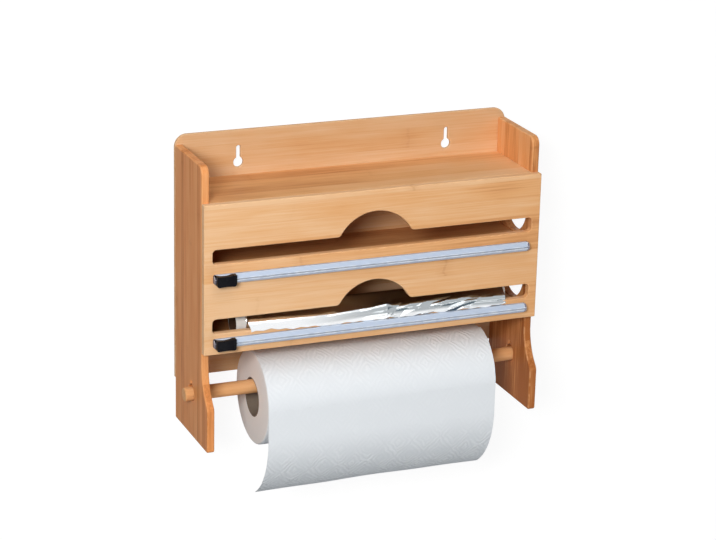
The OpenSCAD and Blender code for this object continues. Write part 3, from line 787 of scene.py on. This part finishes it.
def wound_ring(name, low_x, high_x, axis_y, axis_z, inner, outer, rim):
    middle_z = axis_z + (inner + outer) / 2
    middle = ((low_x + high_x) / 2, axis_y, middle_z)
    ring = fresh(name, bpy.ops.mesh.primitive_plane_add, size=1, location=middle, rotation=upright)
    ring.scale = (high_x - low_x, outer - inner, 1)
    bpy.ops.object.transform_apply()
    pick(ring, lambda co: co.z > middle_z)
    bpy.ops.mesh.bevel(offset=rim, segments=6, affect="VERTICES")
    bpy.ops.mesh.select_all(action="SELECT")
    bpy.ops.mesh.delete(type="ONLY_FACE")
    bpy.ops.mesh.select_all(action="SELECT")
    bpy.ops.mesh.spin(steps=ring_steps, angle=tau, center=(0, axis_y, axis_z), axis=(1, 0, 0))
    bpy.ops.mesh.select_all(action="SELECT")
    bpy.ops.mesh.remove_doubles(threshold=0.002 * mm)
    bpy.ops.mesh.normals_make_consistent()
    leave_edit()
    bpy.ops.object.shade_smooth_by_angle(angle=radians(40))
    return ring


def finish_ring(ring, outside, ends):
    ring.data.materials.append(outside)
    ring.data.materials.append(ends)
    for face in ring.data.polygons:
        face.material_index = 1 if abs(face.normal.x) > 0.8 else 0


towel_paper = paper_finish("towel_paper", unrolled(roll_y, roll_z, roll_r), 1.0, lambda tree: wound_slack)
towel_ends = wound_end("towel_ends", roll_y, roll_z,
                       (0.93, 0.94, 0.94, 1), (0.82, 0.82, 0.81, 1), 0.55, 0.95)
towel = wound_ring("towel_winding_paper", roll_low[0], roll_high[0], roll_y, roll_z,
                   core_r, roll_r, 2.2 * mm)
finish_ring(towel, towel_paper, towel_ends)
stand_for(towel, "towel_winding", "towel_roll")
print("towel roll radius, mm:", round(roll_r / mm, 2))

# %% [markdown]
# ## Hanging sheet
# The loose end comes over the roll, falls in front of it and curls back as paper that was wound
# does. It starts as a flat grid whose rows are laid along that path, so the UV map stays a true
# flat pattern. Small swells grow towards the free edge, where nothing holds the paper.

# %% Path of the towel sheet
sheet_low, sheet_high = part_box("towel_sheet")
sheet_r = -sheet_low[1] + roll_y - 0.4 * mm
straight, curl_r = 30 * mm, 84.6 * mm
curl_angle, wrap_angle = radians(57), radians(80)
swell_h, paper_thick = 0.75 * mm, 0.5 * mm
wrap_len, curl_len = sheet_r * wrap_angle, curl_r * curl_angle
sheet_len = wrap_len + straight + curl_len
sheet_w = sheet_high[0] - sheet_low[0]


def on_circle(y, z, r, angle):
    return y + r * cos(angle), z + r * sin(angle)


def sheet_path(s):
    """Place (y, z) and outward normal of the path at length s from the top of the roll."""
    if s < wrap_len:
        a = pi - wrap_angle + s / sheet_r
        return *on_circle(roll_y, roll_z, sheet_r, a), cos(a), sin(a)
    if s < wrap_len + straight:
        return roll_y - sheet_r, roll_z - (s - wrap_len), -1.0, 0.0
    a = pi + (s - wrap_len - straight) / curl_r
    return *on_circle(roll_y - sheet_r + curl_r, roll_z - straight, curl_r, a), cos(a), sin(a)


print("sheet, mm:", round(sheet_w / mm, 1), "x", round(sheet_len / mm, 1))

# %% Grids with a flat pattern
def laid_grid(name, columns, rows, place, width, length):
    """Grid whose point (u, v), each 0 to 1, goes to place(u, v); its UV map stays flat."""
    piece = fresh(name, bpy.ops.mesh.primitive_grid_add,
                  x_subdivisions=columns, y_subdivisions=rows, size=1)
    mesh = piece.data
    flat = np.zeros(len(mesh.vertices) * 3)
    mesh.vertices.foreach_get("co", flat)
    flat = flat.reshape(-1, 3)[:, :2] + 0.5
    mesh.vertices.foreach_set("co", np.array([place(u, 1 - v) for u, v in flat]).ravel())
    while mesh.uv_layers:
        mesh.uv_layers.remove(mesh.uv_layers[0])
    layer = mesh.uv_layers.new(name="flat")
    corners = np.zeros(len(mesh.loops), dtype=np.int32)
    mesh.loops.foreach_get("vertex_index", corners)
    layer.data.foreach_set("uv", (flat[corners] * (width, length)).ravel())
    return piece


def thicken(piece, thickness):
    solid = piece.modifiers.new("thickness", "SOLIDIFY")
    solid.thickness = thickness
    solid.offset = 0.0
    apply_modifiers(piece)


print("grid helpers ready")

# %% Towel sheet
def towel_point(u, v):
    y, z, ny, nz = sheet_path(v * sheet_len)
    free = max(0.0, (v * sheet_len - wrap_len) / (sheet_len - wrap_len)) ** 1.6
    broad = 0.55 * sin(tau * (1.15 * u + 0.12))
    slight = 0.3 * sin(tau * (2.7 * u + 0.4 * v))
    lift = swell_h * free * (broad + slight)
    return sheet_low[0] + u * sheet_w, y + ny * lift, z + nz * lift


sheet = laid_grid("towel_sheet_paper", 120, 150, towel_point, sheet_w, sheet_len)
edit_all(sheet)
bpy.ops.mesh.normals_make_consistent()
leave_edit()
thicken(sheet, paper_thick)
bpy.ops.object.shade_smooth_by_angle(angle=radians(50))
sheet.data.materials.append(paper_finish("sheet_paper", from_uv, 1.3, sheet_slack))
stand_for(sheet, "towel_sheet", "frame")
print("sheet faces:", len(sheet.data.polygons))

# %% [markdown]
# ## Foil roll
# Household foil is almost a mirror, dulled by fine wrinkles that run round the roll. Wound on a
# white paper core it shows the wood of its compartment more than its own colour, so its finish is
# a clean metal with a low, uneven roughness.

# %% Foil roll
foil_bright, foil_clean = (0.97, 0.97, 0.97, 1), (0.90, 0.91, 0.92, 1)
# dark colour of the painted reflection on the tongue's facets
foil_painted_reflection = (0.13, 0.17, 0.19, 1)


def foil_finish(name, rough, crease):
    material, tree, shader = new_material(name)
    place = object_place(tree)
    wrinkle = cloud(tree, scaled(tree, place, (130.0, 34.0, 34.0)), 1.0, 4.0, 0.55)
    film = cloud(tree, place, 25.0, 3.0)
    clean = blend_colour(tree, film, foil_clean, foil_bright)
    # painted reflection: faces with the mark turn to the dark foil colour, standing in for dark things
    # they would mirror
    painted_reflection = add_node(tree, "Attribute", attribute_name="painted_facet_reflection").outputs["Fac"]
    feed(tree, shader, {"Base Color": blend_colour(tree, painted_reflection, clean, foil_painted_reflection),
                        "Roughness": times_plus(tree, film, 0.16, rough - 0.06),
                        "Metallic": 1.0})
    bump(tree, wrinkle, shader, crease, 0.6 * mm)
    return material


foil_low, foil_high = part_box("foil_winding")
foil_core_low, foil_core_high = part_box("foil_core")
foil_y, foil_z = (foil_low[1] + foil_high[1]) / 2, (foil_low[2] + foil_high[2]) / 2
foil_r, foil_core_r = (foil_high[2] - foil_low[2]) / 2, (foil_core_high[2] - foil_core_low[2]) / 2
wound_foil = foil_finish("wound_foil", 0.14, 0.3)
foil_ends = wound_end("foil_ends", foil_y, foil_z,
                      (0.80, 0.81, 0.83, 1), (0.30, 0.31, 0.33, 1), 0.22, 0.4, 1.0)
foil = wound_ring("foil_winding_metal", foil_low[0], foil_high[0], foil_y, foil_z,
                  foil_core_r, foil_r, 0.5 * mm)
finish_ring(foil, wound_foil, foil_ends)
stand_for(foil, "foil_winding", "foil_roll")
print("foil roll radius, mm:", round(foil_r / mm, 2))

# %% [markdown]
# ## Path of the foil tongue
# The loose end of the foil leaves the roll, runs straight to the slot, bends over the slot's lower
# edge and ends above the rail. The path is two arcs with their common tangent. A few points on it,
# joined by a smooth curve at even steps, give every row of the tongue its place.

# %% Path of the foil tongue
tongue_low, tongue_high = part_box("foil_tongue")
tongue_w = tongue_high[0] - tongue_low[0]
panel_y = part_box("front_panel")[0][1]
lip_z = tongue_low[2] + 4.2 * mm
bend_r, wrap_r = 5.5 * mm, foil_r + 0.6 * mm
bend_y, bend_z = tongue_low[1] + 5.8 * mm, lip_z + 2.6 * mm
span = hypot(foil_y - bend_y, foil_z - bend_z)
slope = atan2(foil_z - bend_z, foil_y - bend_y) + asin((wrap_r - bend_r) / span)
lift_angle = slope + pi / 2


route = [on_circle(foil_y, foil_z, wrap_r, lift_angle + radians(a)) for a in (-28, -21, -14, -7, 0)]
leave, arrive = route[-1], on_circle(bend_y, bend_z, bend_r, lift_angle)
for share in (0.2, 0.4, 0.6, 0.8):
    route.append(tuple(a + share * (b - a) for a, b in zip(leave, arrive)))
route += [on_circle(bend_y, bend_z, bend_r, lift_angle + share * (pi - lift_angle))
          for share in (0, 0.2, 0.4, 0.6, 0.8, 1.0)]
route.append((panel_y - 1.3 * mm, tongue_low[2] + 0.1 * mm))
route = np.array(route)


def smooth_route(points, count):
    """Evenly spaced points on a soft curve through the given ones."""
    padded = np.vstack([2 * points[0] - points[1], points, 2 * points[-1] - points[-2]])
    dense = []
    for k in range(1, len(padded) - 2):
        p0, p1, p2, p3 = padded[k - 1:k + 3]
        for t in np.linspace(0, 1, 24, endpoint=False):
            dense.append(0.5 * (2 * p1 + (p2 - p0) * t + (2 * p0 - 5 * p1 + 4 * p2 - p3) * t * t
                                + (3 * p1 - p0 - 3 * p2 + p3) * t ** 3))
    dense = np.array(dense + [points[-1]])
    run = np.concatenate([[0], np.cumsum(np.linalg.norm(np.diff(dense, axis=0), axis=1))])
    even = np.linspace(0, run[-1], count)
    return np.column_stack([np.interp(even, run, dense[:, i]) for i in (0, 1)]), run[-1]


tongue_rows = 60
tongue_path, tongue_len = smooth_route(route, tongue_rows + 1)
tangent = np.gradient(tongue_path, axis=0)
tangent /= np.linalg.norm(tangent, axis=1)[:, None]
tongue_normal = np.column_stack([tangent[:, 1], -tangent[:, 0]])
print("tongue length, mm:", round(tongue_len / mm, 1))

# %% [markdown]
# ## Foil tongue
# Foil keeps every crease. The tongue is a grid that is laid along the path and pushed out of it by
# a lattice of random heights joined by flat triangles, because flat facets with sharp creases are
# what makes crumpled foil sparkle. The right half is crumpled most, with one crest in the middle;
# the left half is smooth, and its end stands up a little. The lower edge is torn. Facets that
# turn away from the lamps, facets that face up on the crumpled half and the top of the fold would
# mirror dark things, which this bare room lacks, so they carry a painted dark reflection.

# %% Creases of the foil
dice = np.random.default_rng(7)
facet_w, facet_h = 13 * mm, 5.5 * mm
knots = dice.uniform(-1, 1, (16, 40))
# How far the fold stands above or below its mean height, from the left end to the right end
fold_x = [x * mm for x in (-136, -50, -13, 14, 23, 60, 100, 150)]
fold_rise = [z * mm for z in (1.0, -1.0, 0.6, 2.0, 0.3, 0.0, -0.7, -3.0)]
crest_x = [x * mm for x in (-16, 13, 21)]
askew, crest_h, crumple_h, torn_h = 2.2 * mm, 2.4 * mm, 1.5 * mm, 1.3 * mm
end_up, end_in, foil_thick = 3.0 * mm, 2.5 * mm, 0.08 * mm


def knot(i, j):
    return knots[j % len(knots), i % len(knots[0])]


def crease(along, down):
    """Height of a sheet that is creased into flat three-sided facets."""
    p, q = along / facet_w + 0.5 * down / facet_h, down / facet_h
    i, j = floor(p), floor(q)
    a, b = p - i, q - j
    if a + b < 1:
        return (1 - a - b) * knot(i, j) + a * knot(i + 1, j) + b * knot(i, j + 1)
    return (a + b - 1) * knot(i + 1, j + 1) + (1 - b) * knot(i + 1, j) + (1 - a) * knot(i, j + 1)


def fold_wave(t):
    """Zigzag between -1 and 1."""
    return 2 * abs(t - floor(t + 0.5)) * 2 - 1


def ramp(t, start, end):
    """Soft step from 0 at start to 1 at end."""
    t = min(1.0, max(0.0, (t - start) / (end - start)))
    return t * t * (3 - 2 * t)


print("crease heights:", knots.shape)

# %% Foil tongue
def tongue_point(u, v):
    row = min(tongue_rows, max(0, int(round(v * tongue_rows))))
    (y, z), (ny, nz) = tongue_path[row], tongue_normal[row]
    along, down = u * tongue_w, v * tongue_len
    x = tongue_low[0] + along - askew * ramp(v, 0.2, 0.8)
    crumple = 0.12 + 0.88 * ramp(x, -15 * mm, 20 * mm)
    lift = crease(along, down) * crumple_h * crumple * (0.06 + 0.94 * ramp(v, 0.5, 0.72))
    lift += crest_h * np.interp(x, crest_x, (0, 1, 0)) * ramp(v, 0.5, 0.7) * (1 - ramp(v, 0.85, 1.0))
    z += np.interp(x, fold_x, fold_rise) * ramp(v, 0.2, 0.62) * (1 - ramp(v, 0.75, 1.0))
    jag = fold_wave(along * 61.0 + 0.2) * 0.5 + fold_wave(along * 23.0) * 0.5
    z += ramp(v, 0.88, 1.0) * torn_h * jag
    left_end = 1 - ramp(x, -135 * mm, -45 * mm)
    z += ramp(v, 0.7, 1.0) * end_up * left_end
    x += ramp(v, 0.75, 1.0) * end_in * left_end
    return x, y + ny * lift, z + nz * lift


tongue = laid_grid("foil_tongue_metal", 300, tongue_rows, tongue_point, tongue_w, tongue_len)
thicken(tongue, foil_thick)
bpy.ops.object.shade_flat()
painted_reflection = tongue.data.attributes.new("painted_facet_reflection", "FLOAT", "FACE")
# painted reflection: facets turned away from the lamps, facets facing up on the crumpled half and the top
# of the fold get the mark
away_from_light = Vector((0.75, 0.2, -0.63))
for face in tongue.data.polygons:
    x, _, z = face.center
    turned_away = ramp(face.normal.dot(away_from_light), -0.26, 0.06)
    facing_up = 0.5 * ramp(abs(face.normal.z), 0.3, 0.7)
    crumpled_side = ramp(x, -40 * mm, 15 * mm)
    below_fold = bend_z + np.interp(x, fold_x, fold_rise) - z
    painted_fold_reflection = 0.62 * (1 - ramp(below_fold, 1.5 * mm, 4.5 * mm)) * ramp(x, -95 * mm, 10 * mm)
    painted_reflection.data[face.index].value = max(max(turned_away, facing_up) * crumpled_side, painted_fold_reflection)
tongue.data.materials.append(foil_finish("crumpled_foil", 0.16, 0.05))
stand_for(tongue, "foil_tongue", "frame")
print("tongue faces:", len(tongue.data.polygons))

# %% [markdown]
# ## Cores and rod
# The cores are tubes wound from strips of board, so a slanting seam runs round them: grey board,
# darkened with painted shade, for the towel, and white board for the foil, whose bore is painted near
# black as painted shade. The rod and its locking pin are bamboo. Their solids have the right shape,
# so copies of them only get their edges eased.

# %% Cores and rod
seam_pitch = 62.0


def wound_board(name, axis_y, axis_z, radius, light, dark):
    material, tree, shader = new_material(name)
    laid = unrolled(axis_y, axis_z, radius)(tree)
    x, y, _ = split(tree, laid)
    slant = times_plus(tree, y, 0.9, x)
    turns = calc(tree, "FRACT", calc(tree, "DIVIDE", slant, seam_pitch))
    seam = step_mask(tree, calc(tree, "ABSOLUTE", calc(tree, "SUBTRACT", turns, 0.5)), 0.0, 0.012)
    place = object_place(tree)
    pulp = cloud(tree, place, 1400.0, 4.0, 0.7)
    fleck = cloud(tree, place, 220.0, 2.0)
    mottle = times_plus(tree, pulp, 0.6, times(tree, fleck, 0.4))
    board = blend_colour(tree, mottle, dark, light)
    feed(tree, shader, {"Base Color": blend_colour(tree, times(tree, seam, 0.5), board, dark),
                        "Roughness": times_plus(tree, pulp, 0.1, 0.82),
                        "Specular IOR Level": 0.2})
    bump(tree, calc(tree, "SUBTRACT", pulp, seam), shader, 0.4, 0.08 * mm)
    return material


# painted shade: the towel core is darkened to stand in for the shade inside its bore
shaded_grey_board = wound_board("shaded_grey_board", roll_y, roll_z, core_r,
                         (0.24, 0.19, 0.15, 1), (0.15, 0.12, 0.09, 1))
white_board = wound_board("white_board", foil_y, foil_z, foil_core_r,
                          (0.80, 0.80, 0.78, 1), (0.66, 0.65, 0.62, 1))
# painted shade: the bore of the foil core is near black, standing in for the shade inside it
bore_painted_shade = wound_board("bore_painted_shade", foil_y, foil_z, foil_core_r,
                          (0.075, 0.036, 0.018, 1), (0.04, 0.02, 0.01, 1))
turned = (("towel_core", "towel_roll", "core_card", shaded_grey_board, 0.3, drilled_hole),
          ("foil_core", "foil_roll", "core_white", white_board, 0.2, drilled_hole),
          ("towel_rod", "rod", "bamboo", rod_bamboo, 1.2, drilled_hole),
          ("rod_pin", "rod", "bamboo", pin_bamboo, 0.4, 0))
for node, body, slot, material, width, smallest in turned:
    piece = merged_copy(node, node + "_eased")
    ease_edges(piece, width * mm, smallest=smallest)
    dress(piece, node, body, material)
tube = bpy.data.objects["foil_core_eased"]
bore_r = foil_core_r - 0.8 * mm
tube.data.materials.append(bore_painted_shade)
for face in tube.data.polygons:
    if hypot(face.center.y - foil_y, face.center.z - foil_z) < bore_r:
        face.material_index = 1

# %% [markdown]
# ## Pins, tape, runners and blades
# These pieces hardly show, and their solids have the right shape, so they only change their finish:
# bamboo for the dowel pins, foam for the tape, white plastic for the runners and plated steel for
# the blades.

# %% Finishes for the solids that stay
steel = drawn_metal("plated_steel", (0.60, 0.60, 0.58), 0.32, 0.2)
tape = moulded_plastic("foam_tape", (0.60, 0.60, 0.58), 0.8, 0.6)
finishes = {"front_pins": pin_bamboo, "shelf_pins": pin_bamboo}
for level in levels:
    finishes[level + "_rail_tape"] = tape
    finishes[level + "_runner"] = runner_white
    finishes[level + "_blade"] = steel
for node, material in finishes.items():
    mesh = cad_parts[node].data
    mesh.materials.clear()
    mesh.materials.append(material)
print("solids that stay:", len(finishes))

# %% [markdown]
# ## Screws
# The screws in the back have a cross recess for the driver. A small cube whose four sides are pulled
# out makes one cross. It is copied to each head and cut out of all of them by one Boolean modifier,
# which is quicker than modelling it into each head.

# %% Screws
recess_core, recess_arm, recess_depth = 1.0 * mm, 1.3 * mm, 0.3 * mm
screws = merged_copy("back_screws", "back_screws_driven")
edit_all(screws)
bpy.ops.mesh.separate(type="LOOSE")
leave_edit()
heads = []
for screw in bpy.context.selected_objects:
    places = np.array([v.co[:] for v in screw.data.vertices])
    heads.append((places.min(axis=0) + places.max(axis=0)) / 2)
head_y = max(v.co.y for v in screws.data.vertices)
bpy.ops.object.join()
cross = fresh("cross", bpy.ops.mesh.primitive_cube_add, size=recess_core)
for side in ((1, 0, 0), (-1, 0, 0), (0, 0, 1), (0, 0, -1)):
    pick(cross, lambda co: co.dot(Vector(side)) > 0.4 * recess_core and co.length < recess_core)
    bpy.ops.mesh.select_mode(type="FACE")
    pull = [recess_arm * step for step in side]
    bpy.ops.mesh.extrude_region_move(TRANSFORM_OT_translate={"value": pull})
leave_edit()
print("cross recess, mm:", [round(size / mm, 2) for size in cross.dimensions])
cutters = [cross]
for head in heads[1:]:
    twin = cross.copy()
    twin.data = cross.data.copy()
    scene.collection.objects.link(twin)
    cutters.append(twin)
for cutter, head in zip(cutters, heads):
    cutter.location = (head[0], head_y - recess_depth, head[2])
activate(cross)
for cutter in cutters:
    cutter.select_set(True)
bpy.ops.object.join()
bpy.ops.object.transform_apply()
recess = screws.modifiers.new("cross recess", "BOOLEAN")
recess.operation = "DIFFERENCE"
recess.solver = "EXACT"
recess.object = cross
apply_modifiers(screws)
bpy.data.objects.remove(cross)
ease_edges(screws, 0.12 * mm, 2, 40)
dress(screws, "back_screws", "frame", steel)
